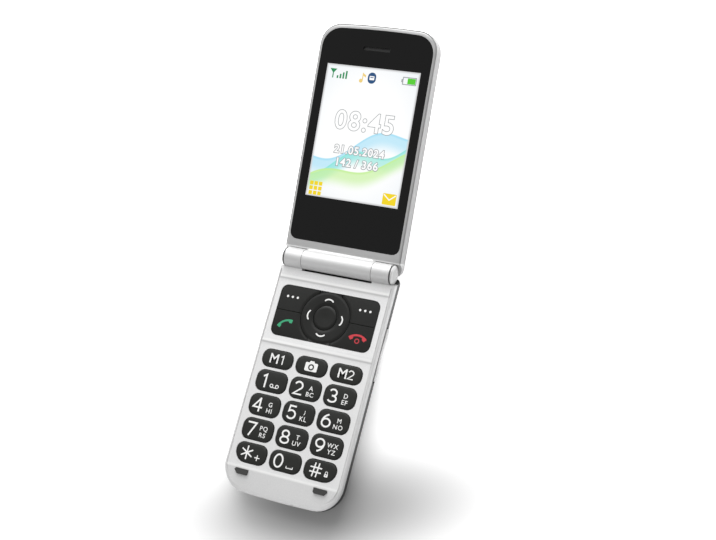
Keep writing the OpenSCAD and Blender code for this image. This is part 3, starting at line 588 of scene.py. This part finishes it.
def digit(number, cx, cy, scale=1.0):
    """A plain digit, 6 mm high at scale 1."""
    loops = [[stroke(line, PEN, blunt=True)] for line in DIGITS[number]]
    loops += [hoop(*ring, PEN) for ring in RINGS.get(number, [])]
    return [flat_mesh([[(cx + x * scale, cy + y * scale) for x, y in loop] for loop in group])
            for group in loops]


DIGIT_X, DIGIT_Y = -3.05, -0.1
LETTERS_X, LETTERS_Y, LETTERS_HIGH = 2.65, (0.75, -1.9), 1.85


def digit_legend(node):
    """A big digit on the left of its key, and letters or a small sign on the right."""
    meshes = digit(node[-1], DIGIT_X, DIGIT_Y)
    for letters, y in zip(LETTERS.get(node, ()), LETTERS_Y):
        meshes.append(text_mesh(letters, LETTERS_HIGH, LETTERS_X, y, 0.03, 1.15))
    if node == "key_1":
        # a tape with two reels
        for x in (0.6, 3.2):
            meshes.append(flat_mesh([disc(x, -1.75, 0.85), disc(x, -1.75, 0.5)]))
        meshes.append(flat_mesh([slab(1.9, -2.45, 2.6, 0.32)]))
    if node == "key_0":
        tray = [(1.0, -1.45), (1.0, -2.25), (3.9, -2.25), (3.9, -1.45)]
        meshes.append(flat_mesh([stroke(tray, 0.36, blunt=True)]))
    return meshes


def star_legend():
    """Six arms, and a plus sign beside them."""
    arms = []
    for angle in (90, 30, -30):
        arm = turned([(-2.65, 0), (2.65, 0)], angle, -1.9)
        arms.append(flat_mesh([stroke(arm, 0.62)]))
    arms.append(flat_mesh([stroke([(2.1, -1.35), (4.2, -1.35)], 0.42)]))
    arms.append(flat_mesh([stroke([(3.15, -2.4), (3.15, -0.3)], 0.42)]))
    return arms


def hash_legend():
    """Two slanted bars over two level ones, and a small padlock beside them."""
    bars = []
    for x in (-2.75, -1.05):
        bars.append(flat_mesh([stroke([(x - 0.25, -2.7), (x + 0.25, 2.7)], 0.58)]))
    for y in (-0.95, 0.95):
        bars.append(flat_mesh([stroke([(-4.3, y), (0.5, y)], 0.58)]))
    x, half = 3.05, 0.5
    shackle = [(x - half, -0.8), *arc_points(x, -0.25, half, 180, 0, 8), (x + half, -0.8)]
    bars.append(flat_mesh([slab(x, -1.35, 1.6, 1.2, 0.2), disc(x, -1.3, 0.24, 10)]))
    bars.append(flat_mesh([stroke(shackle, 0.28)]))
    return bars


def camera_legend():
    """A camera seen from the front: body, lens and finder hump."""
    body = slab(0, -0.3, 5.7, 3.7, 0.55)
    hump = [(-1.35, 1.3), (1.35, 1.3), (0.85, 2.3), (-0.85, 2.3)]
    return [
        flat_mesh([body, disc(0, -0.35, 1.35)]),
        flat_mesh([disc(0, -0.35, 0.75)]),
        flat_mesh([hump]),
    ]


LEGENDS = {"key_star": star_legend, "key_hash": hash_legend, "key_camera": camera_legend}

for node in [n for n in NODES if n.startswith("key_")]:
    place, center, half = at_key(node)
    dress(key_finish(node + "_plastic", center, half, 0.35), node)
    if node in ("key_m1", "key_m2"):
        meshes = [text_mesh("M", 4.0, -1.5, 0, 0.06)] + digit(node[-1], 2.3, 0, 0.67)
    elif node in LEGENDS:
        meshes = LEGENDS[node]()
    else:
        meshes = digit_legend(node)
    print_on(node + "_legend", meshes, ink_white, node, place)

# Half sizes of the panel, its ring and the confirm key
PANEL_HALF, RING_HALF, OK_HALF = (23.2, 11.35), (11.1, 11.1), (5.2, 5.2)
PANEL_TONE, RING_TONE = 0.009, 0.008
panel_center = (0, PANEL_Y)
dress(key_finish("corner_plastic", panel_center, PANEL_HALF, 0.5, PANEL_TONE),
      "softkey_left", "softkey_right", "call_key", "end_key")
dress(key_finish("ring_plastic", panel_center, RING_HALF, -0.45, RING_TONE), "nav_ring")
dress(key_finish("ok_plastic", panel_center, OK_HALF, 0.2, PANEL_TONE), "ok_key")

on_panel = Matrix.Translation((0, PANEL_Y * MM, (NAV_TOP + INK_LIFT) * MM))
for name, x in (("softkey_left", -17), ("softkey_right", 17)):
    dots = [flat_mesh([disc(x + i * 2.35, 6.2, 0.52, 16)]) for i in (-1, 0, 1)]
    print_on(name + "_legend", dots, ink_white, name, on_panel)

arrows = []
for angle in (0, 90, 180, 270):
    arrows.append(flat_mesh([stroke(turned(arc_points(0, 5.5, 2.6, 46, 134), angle), 0.62)]))
print_on("nav_ring_legend", arrows, ink_white, "nav_ring", on_panel)

lifted = turned(handset(7.6, 72, 0.85, 1.6), 27, -17.9, -4.3)
laid_down = turned(handset(8.4, 84, 0.85, 1.7), 0, 16.8, -4.1)
ring_below = [disc(16.8, -7.0, r, 20) for r in (1.1, 0.72)]
print_on("call_key_legend", [flat_mesh([lifted])], ink_green, "call_key", on_panel)
print_on("end_key_legend", [flat_mesh([laid_down]), flat_mesh(ring_below)],
         ink_red, "end_key", on_panel)


# ---- main display ----

SCREEN_W, SCREEN_H = 43.2, 57.6
# Middle of the lit picture, and its depth under the window's face
SCREEN_AWAY, SCREEN_DEPTH = 56.4, 0.5
SCREEN = LID @ Matrix.Translation((0, SCREEN_AWAY * MM, -SCREEN_DEPTH * MM))


def on_screen(lift):
    return SCREEN @ Matrix.Translation((0, 0, lift * MM))


def lit(name, color):
    """A colour of the lit picture, behind the window's gloss."""
    return Finish(name, grey(0.01), 0.12, Emission_Color=color, Emission_Strength=1.0,
                  Coat_Weight=0.15, Coat_Roughness=0.05)


def wallpaper():
    """White backlight with three soft rolling bands in blue, teal and green."""
    f = lit("screen_wallpaper", (1, 1, 1))
    x, y, _ = f.place(SCREEN)
    # painted shade of the bezel: the backlight dims to a pale blue-grey towards the corners
    shade = f.mix((x.hypot(y * 0.8)).rise(14, 34), (1, 1, 1), (0.86, 0.9, 0.93))
    # colour, level, swing, pitch, phase and depth of each band
    bands = (
        ((0.36, 0.74, 0.92), -4.0, 3.4, 0.16, 0.4, 10.0),
        ((0.26, 0.78, 0.7), -9.5, 3.0, 0.19, 2.1, 8.0),
        ((0.55, 0.86, 0.3), -14.0, 2.6, 0.15, 4.0, 9.0),
    )
    for color, level, swing, pitch, phase, depth in bands:
        crest = (x * pitch + phase).sin() * swing + x * 0.32 + level
        below = crest - y
        body = below.rise(0, 0.5) * (1 - below.rise(depth * 0.3, depth))
        edge = below.rise(0, 0.3) * (1 - below.rise(0.3, 1.6))
        shade = f.mix(body * 0.72 + edge * 0.28, shade, color)
    # painted shade of the bezel: the picture turns grey within 1.1 mm of its border
    inside = (SCREEN_W / 2 - x.abs()).low(SCREEN_H / 2 - y.abs())
    f.set(Emission_Color=f.mix(inside.rise(0.1, 1.1), (0.62, 0.62, 0.63), shade))
    return f


print_on("screen_picture", [flat_mesh([slab(0, 0, SCREEN_W, SCREEN_H)])], wallpaper(), "lid",
         on_screen(0.012))

screen_green = lit("screen_green", (0.005, 0.26, 0.08))
screen_lime = lit("screen_lime", (0.08, 0.6, 0.02))
screen_grey = lit("screen_grey", (0.33, 0.35, 0.36))
screen_white = lit("screen_white", grey(1))
screen_blue = lit("screen_blue", (0.008, 0.07, 0.2))
screen_yellow = lit("screen_yellow", (0.88, 0.66, 0.003))
screen_amber = lit("screen_amber", (0.85, 0.62, 0.2))


def screen_print(name, loops, finish, x, y, lift=0.022):
    """A sign drawn about its own zero point, which lies at x, y of the picture."""
    place = on_screen(lift) @ Matrix.Translation((x * MM, y * MM, 0))
    print_on(name, [flat_mesh(group) for group in loops], finish, "lid", place)


# Heights of the status signs' foot and middle over the middle of the picture
SIGN_FOOT, SIGN_MIDDLE = 22.8, 24.8
OVER_SIGN = 0.03


def signal_sign():
    """Four rising bars with a mast on their left."""
    bars = []
    for i in range(4):
        high = 1.2 + i * 0.75
        bars.append([slab(i * 1.35, high / 2, 0.75, high)])
    mast = [(-3.9, 4), (-0.6, 4), (-2, 2.3), (-2, 0), (-2.5, 0), (-2.5, 2.3)]
    screen_print("screen_signal", bars + [[mast]], screen_green, -16, SIGN_FOOT)


def battery_sign():
    case = [slab(0, 0, 6.4, 3.4, 0.3), slab(0, 0, 5.6, 2.6, 0.2)]
    nose = [slab(-3.45, 0, 0.5, 1.3)]
    screen_print("screen_battery_case", [case, nose], screen_grey, 17.2, SIGN_MIDDLE)
    screen_print("screen_battery_charge", [[slab(0.9, 0, 3.6, 2.4, 0.1)]], screen_lime,
                 17.2, SIGN_MIDDLE)


def note_sign():
    """A quaver: round head, stem and flag."""
    flag = [(0.5, 3.5), (2.1, 2.5), (2.1, 1.5), (0.5, 2.4)]
    loops = [[disc(0, 0, 0.85)], [slab(0.65, 1.7, 0.45, 3.4)], [flag]]
    screen_print("screen_note", loops, screen_amber, -4.9, SIGN_FOOT)


def badge_sign():
    """A blue oval with a small white box on it."""
    box = [slab(0, 0, 2.2, 1.7, 0.2), slab(0, 0.25, 1.5, 0.35)]
    screen_print("screen_badge", [[slab(0, 0, 3.8, 4.8, 1.85)]], screen_blue, 0, 24.4)
    screen_print("screen_badge_mark", [box], screen_white, 0, 24.4, OVER_SIGN)


def corner_signs():
    """Menu tiles in the left bottom corner, and an envelope in the right one."""
    tiles = [[slab(i * 2.1, j * 2.1, 1.7, 1.7, 0.2)] for i in (-1, 0, 1) for j in (-1, 0, 1)]
    flap = stroke([(-2.6, 1.8), (0, -0.3), (2.6, 1.8)], 0.45)
    screen_print("screen_tiles", tiles, screen_yellow, -17.4, -25.3)
    screen_print("screen_letter", [[slab(0, 0, 6.2, 4.8, 0.4)]], screen_yellow, 17.2, -25.4)
    screen_print("screen_letter_flap", [[flap]], screen_white, 17.2, -25.4, OVER_SIGN)


signal_sign()
battery_sign()
note_sign()
badge_sign()
corner_signs()

# white figures, each line over a grey copy of itself that shows as its edge
for name, text, height, y in (
    ("time", "08:45", 8.0, 5.4), ("date", "21.05.2024", 3.3, -7.2), ("day", "142 / 366", 3.3, -12.6),
):
    print_on("screen_%s_edge" % name, [text_mesh(text, height, 0, y, 0.38, 1.1)], screen_grey,
             "lid", on_screen(0.026))
    print_on("screen_" + name, [text_mesh(text, height, 0, y, 0.1, 1.1)], screen_white,
             "lid", on_screen(0.034))


# ---- outer face of the lid ----

def outer_glass():
    """Black window with the faint grey field of the unlit display behind it."""
    black, half_w, half_h, middle = (0.004, 0.004, 0.0045), 14, 17.5, 47
    f = gloss_plastic("outer_glass", black, 0.05)
    x, y, _ = f.place(LID)
    field = (half_w - x.abs()).rise(0, 0.2) * (half_h - (y - middle).abs()).rise(0, 0.2)
    f.set(Base_Color=f.mix(field, black, (0.032, 0.032, 0.037)))
    return f


def lens_glass():
    """Dark coated lens: rings of the barrel show inside, with a painted violet reflection of the
    coating in the middle.
    """
    lens_away = 13.3
    f = Finish("lens_glass", (0.01, 0.01, 0.015), 0.04, Coat_Weight=1.0, Coat_Roughness=0.02)
    x, y, _ = f.place(LID)
    r = x.hypot(y - lens_away)
    rings = ((r * 7.5).sin()).rise(0.2, 0.8) * (1 - r.rise(2.2, 2.5))
    coating_painted_reflection = 1 - r.rise(0.7, 0.85)
    tone = f.mix(rings, (0.008, 0.008, 0.01), (0.05, 0.05, 0.055))
    f.set(Base_Color=f.mix(coating_painted_reflection, tone, (0.03, 0.02, 0.06)))
    f.bump(rings * 0.5 + (1 - r.rise(0, 2.6)) * 0.5, 0.15)
    return f


def flash_cover():
    """Pale yellow diffuser with a moulded grid of small prisms."""
    f = Finish("flash_cover", (0.82, 0.78, 0.48), 0.18, Coat_Weight=0.6, Coat_Roughness=0.05)
    x, y, _ = f.place(LID)
    prisms = (x * 12).sin().abs() * (y * 12).sin().abs()
    # painted shade: the colour is darker in the grooves between the prisms
    f.set(Base_Color=f.mix(prisms, (0.62, 0.56, 0.28), (0.95, 0.93, 0.7)))
    f.bump(prisms, 0.12)
    return f


dress(outer_glass(), "outer_window")
dress(lens_glass(), "camera_lens")
dress(flash_cover(), "flash_lens")


# ---- floor, light and camera ----


def studio_floor():
    """Card under the phone: a painted shadow, grey round the chin, where the soft shadow lies,
    and white beyond, where it also glows to the eye and in reflections only."""
    half_size, drop = 12, 0.0002    # metres
    mesh = bpy.data.meshes.new("floor")
    shape = bmesh.new()
    bmesh.ops.create_grid(shape, x_segments=1, y_segments=1, size=half_size)
    shape.to_mesh(mesh)
    shape.free()
    white, shadow = grey(0.9), grey(0.38)
    f = Finish("floor_card", white, 0.9, Specular_IOR_Level=0.0)
    x, y, _ = f.place()
    # the painted shadow is a slanted oval round the chin, 2.8 times as wide as deep
    slant = math.radians(18)
    along = x * math.cos(slant) + y * math.sin(slant)
    across = y * math.cos(slant) - x * math.sin(slant)
    away = ((along - 3) / 2.8).hypot(across + 54).rise(4, 33)
    f.set(Base_Color=f.mix(away, shadow, white))
    # the glow is weakest round the chin, keeping the painted shadow there, and grows away from it and
    # towards the lid, where it fades the real shadows into white
    glow = away * 0.3 + y.rise(-30, 40) * 0.55 + x.hypot(y).rise(250, 900) + 0.04
    camera, glossy, through = (
        f.node("ShaderNodeLightPath", output=name)
        for name in ("Is Camera Ray", "Is Glossy Ray", "Is Transmission Ray")
    )
    seen = camera.high(glossy).high(through)
    f.set(Emission_Color=f.mix(seen * glow, grey(0), grey(1)), Emission_Strength=1.0)
    mesh.materials.append(f.material)
    floor = bpy.data.objects.new("floor", mesh)
    bpy.context.scene.collection.objects.link(floor)
    floor.location = (0, 0, -drop)


def lamp(name, place, size, radiance):
    """A rectangular soft box aimed at the origin: radiance 1 looks white where it is mirrored."""
    data = bpy.data.lights.new(name, "AREA")
    data.shape = "RECTANGLE"
    data.size, data.size_y = size
    data.energy = radiance * math.pi * size[0] * size[1]
    box = bpy.data.objects.new(name, data)
    bpy.context.scene.collection.objects.link(box)
    box.location = place
    box.rotation_euler = (-Vector(place)).to_track_quat("-Z", "Y").to_euler()
    box.visible_camera = False


def studio_world():
    world = bpy.data.worlds.new("studio")
    bpy.context.scene.world = world
    world.use_nodes = True
    around = world.node_tree.nodes["Background"]
    around.inputs["Color"].default_value = (1, 1, 1, 1)
    around.inputs["Strength"].default_value = 0.42


def studio_camera():
    """The photograph's camera, fitted to the lit picture and the grid of keys."""
    focal_pixels, picture_pixels = 1198.2, 716
    view = bpy.data.cameras.new("view")
    view.sensor_width = 36
    view.lens = view.sensor_width * focal_pixels / picture_pixels
    view.clip_start = 0.01
    camera = bpy.data.objects.new("view", view)
    bpy.context.scene.collection.objects.link(camera)
    right = Vector((0.90976, 0.25657, -0.32635))
    up = Vector((-0.16526, 0.945, 0.28225))
    back = Vector((0.38082, -0.20284, 0.90212))
    from_hinge = Vector((0.202, -0.10332, 0.45734))
    place = Matrix.Translation(from_hinge + Vector((0, AXIS_Y, AXIS_Z)))
    camera.matrix_world = place @ Matrix((right, up, back)).transposed().to_4x4()
    bpy.context.scene.camera = camera
    bpy.context.scene.view_settings.view_transform = "Standard"


studio_floor()
studio_world()
lamp("soft_box_back", (-0.27, 1.08, 0.57), (1.2, 0.6), 5.8)
lamp("soft_box_high", (-0.3, 0.75, 1.0), (1.4, 0.7), 2.1)
lamp("soft_box_front", (-0.1, -0.9, 0.5), (1.0, 0.5), 1.2)
studio_camera()
